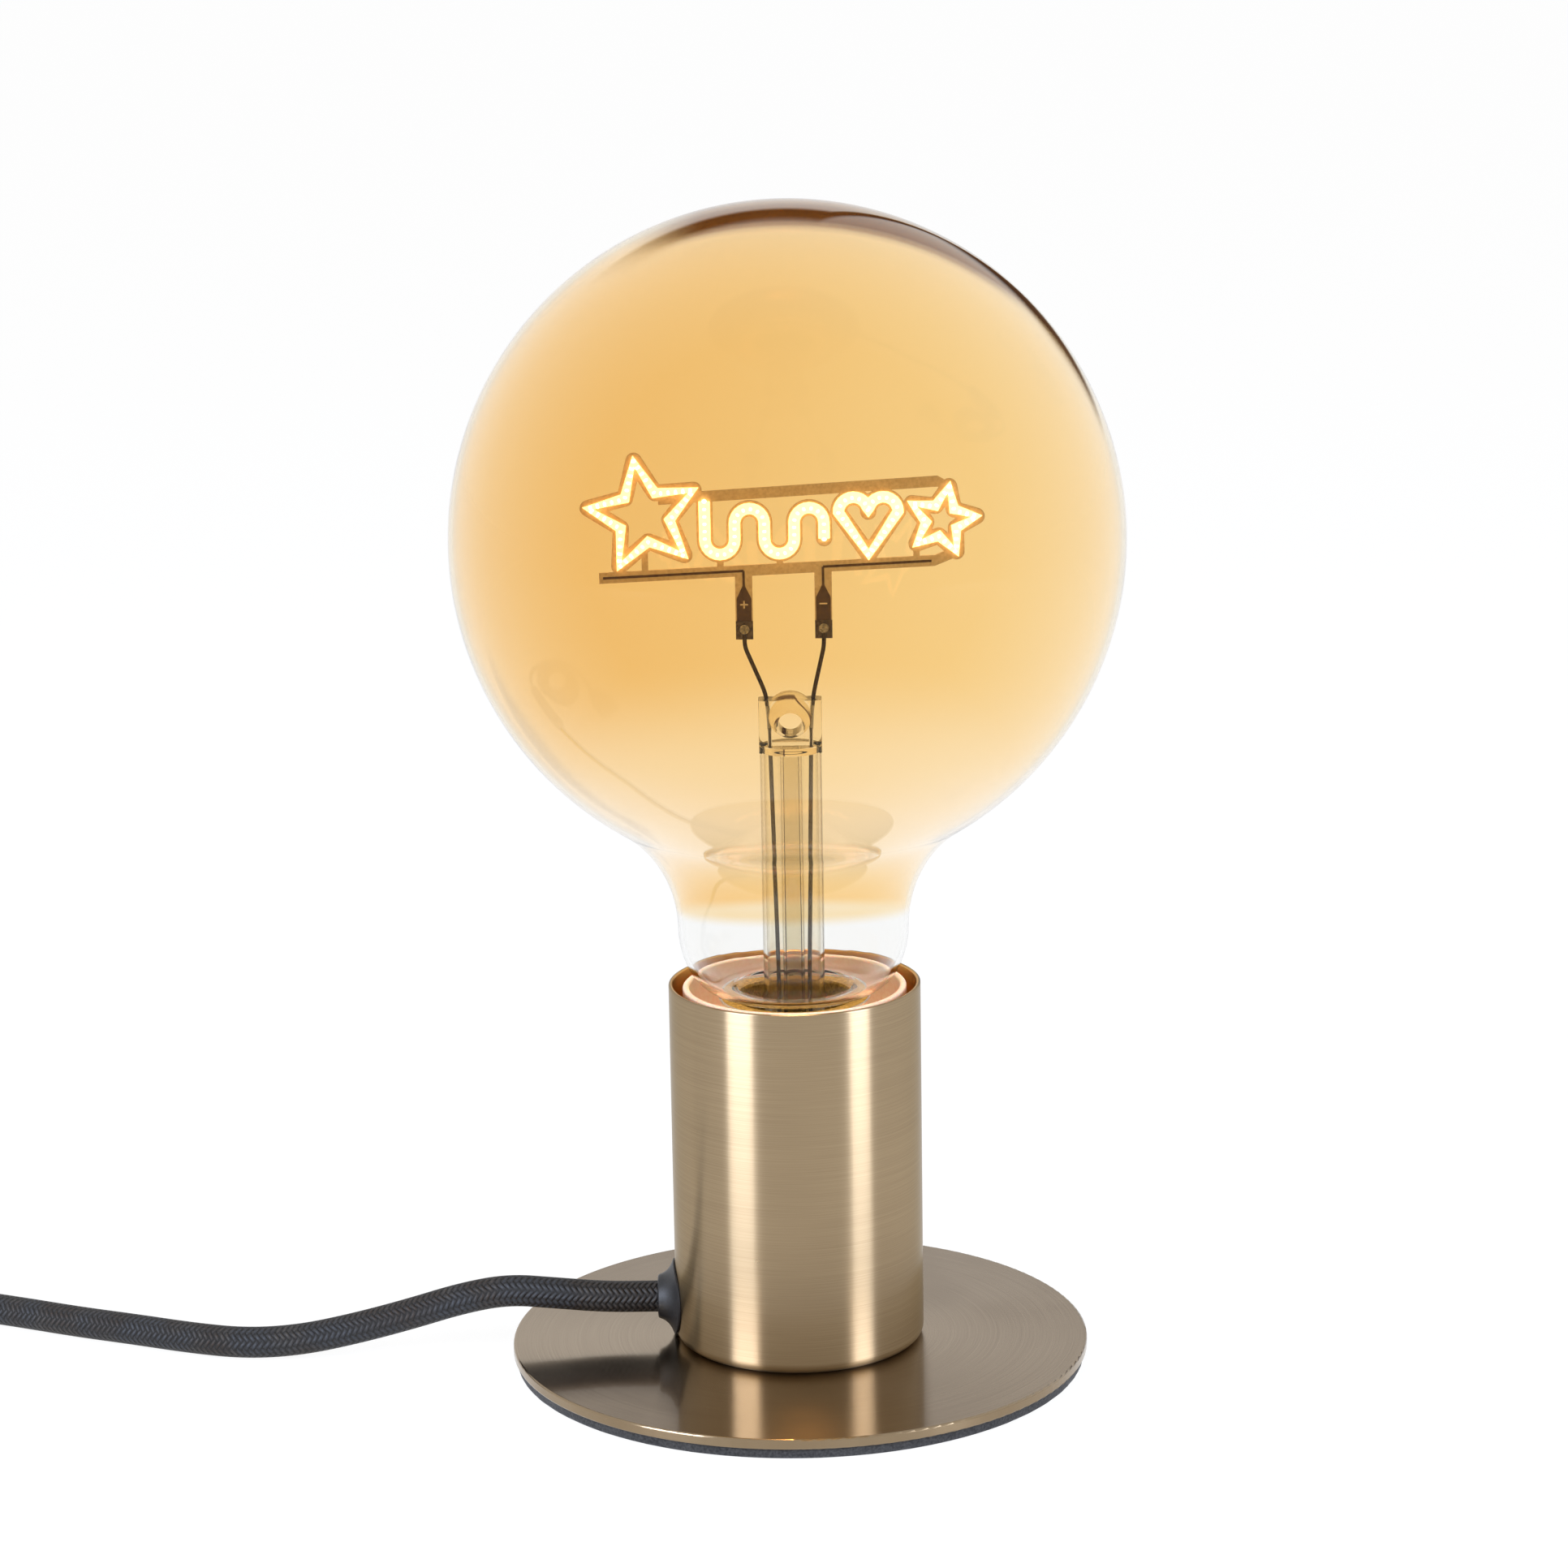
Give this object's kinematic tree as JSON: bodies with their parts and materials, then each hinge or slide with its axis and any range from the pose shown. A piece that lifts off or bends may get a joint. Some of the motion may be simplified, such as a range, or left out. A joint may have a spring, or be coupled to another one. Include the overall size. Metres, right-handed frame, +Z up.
{
  "type": "table lamp",
  "caption": "Small table lamp: a round plate carries a cup with a lampholder, a large bare globe bulb screws in, and a braided cord with a rocker switch and plug leaves the cup.",
  "frame": {"origin": "centre of the foot's underside, on the table", "axes": "+Z up along the axis of cup and bulb, -X towards the side where the cord leaves the cup"},
  "size_m": [0.3699, 0.1553, 0.2208],
  "materials": {
    "satin_brass": "lacquered brass, brushed satin",
    "fibre_pad": "black pressed fibre",
    "grommet_rubber": "black rubber",
    "zinc_steel": "zinc plated steel",
    "holder_plastic": "cream thermoplastic",
    "porcelain": "white porcelain",
    "contact_brass": "bare brass",
    "sheath_black": "black cable sheath",
    "core_brown": "brown wire insulation",
    "core_blue": "blue wire insulation",
    "solder": "soft solder",
    "amber_glass": "blown glass with an amber coat",
    "clear_glass": "clear glass",
    "cap_metal": "rolled aluminium",
    "cement": "brown bulb cement",
    "black_insulator": "black glass insulator",
    "lead_nickel": "nickel plated lead wire",
    "carrier_board": "tan laminate",
    "phosphor": "yellow phosphor coat",
    "board_green": "green circuit board",
    "part_black": "moulded electronic part",
    "cord_braid": "black and grey textile braid",
    "tie_fabric": "woven strap",
    "switch_plastic": "moulded black plastic",
    "soft_black": "soft black strain relief",
    "plug_plastic": "moulded black plastic",
    "pin_nickel": "nickel plated brass"
  },
  "bodies": {
    "lamp": {"base_pad": "fibre_pad", "base_plate": "satin_brass", "plate_screws": "zinc_steel", "cup": "satin_brass", "grommet": "grommet_rubber", "holder_bracket": "zinc_steel", "bracket_nuts": "zinc_steel", "holder_nipple": "zinc_steel", "nipple_nut": "zinc_steel", "nipple_washer": "zinc_steel", "holder_dome": "holder_plastic", "holder_core": "porcelain", "holder_skirt": "holder_plastic", "thread_sleeve": "contact_brass", "centre_contact": "contact_brass", "side_contact": "contact_brass", "terminal_screws": "contact_brass", "cord_clamp": "holder_plastic", "clamp_bar": "holder_plastic", "clamp_screws": "zinc_steel", "inner_cord": "cord_braid", "live_core": "core_brown", "neutral_core": "core_blue", "cord_run": "cord_braid", "cord_link": "cord_braid", "cord_coil": "cord_braid", "cord_tail": "cord_braid", "coil_tie": "tie_fabric", "switch_base": "switch_plastic", "switch_cover": "switch_plastic", "rocker_pin": "zinc_steel", "switch_contacts": "contact_brass", "switch_screws": "zinc_steel", "switch_sleeves": "soft_black", "switch_leads": "sheath_black", "plug_body": "plug_plastic", "plug_relief": "soft_black", "plug_pins": "pin_nickel", "pin_sleeves": "plug_plastic"},
    "riser": {"tip_contact": "solder"},
    "bulb": {"bulb_glass": "amber_glass", "bulb_cap": "cap_metal", "cap_cement": "cement", "cap_insulator": "black_insulator", "glass_stem": "clear_glass", "exhaust_tube": "clear_glass", "lead_wires": "lead_nickel", "filament_carrier": "carrier_board", "filament_tabs": "cap_metal", "solder_lugs": "solder", "led_strokes": "phosphor", "driver_board": "board_green", "driver_parts": "part_black", "cap_wire": "lead_nickel"},
    "rocker": {"switch_rocker": "switch_plastic", "rocker_blade": "contact_brass"}
  },
  "joints": [
    {"name": "bulb_rise", "type": "slide", "parent": "lamp", "child": "riser", "axis": [0, 0, 1], "range_m": [0, 0.01634]},
    {"name": "bulb_turn", "type": "hinge", "parent": "riser", "child": "bulb", "pos_m": [0, 0, 0.06], "axis": [0, 0, 1], "range_deg": [0, 1620]},
    {"name": "rocker_tilt", "type": "hinge", "parent": "lamp", "child": "rocker", "pos_m": [-0.2136, 0.0462, 0.0116], "axis": [-0.4179, -0.9085, 0], "range_deg": [0, 16]}
  ],
  "couplings": [
    {"joint": "bulb_rise", "follows": "bulb_turn", "m_per_rad": 0.00057757}
  ]
}
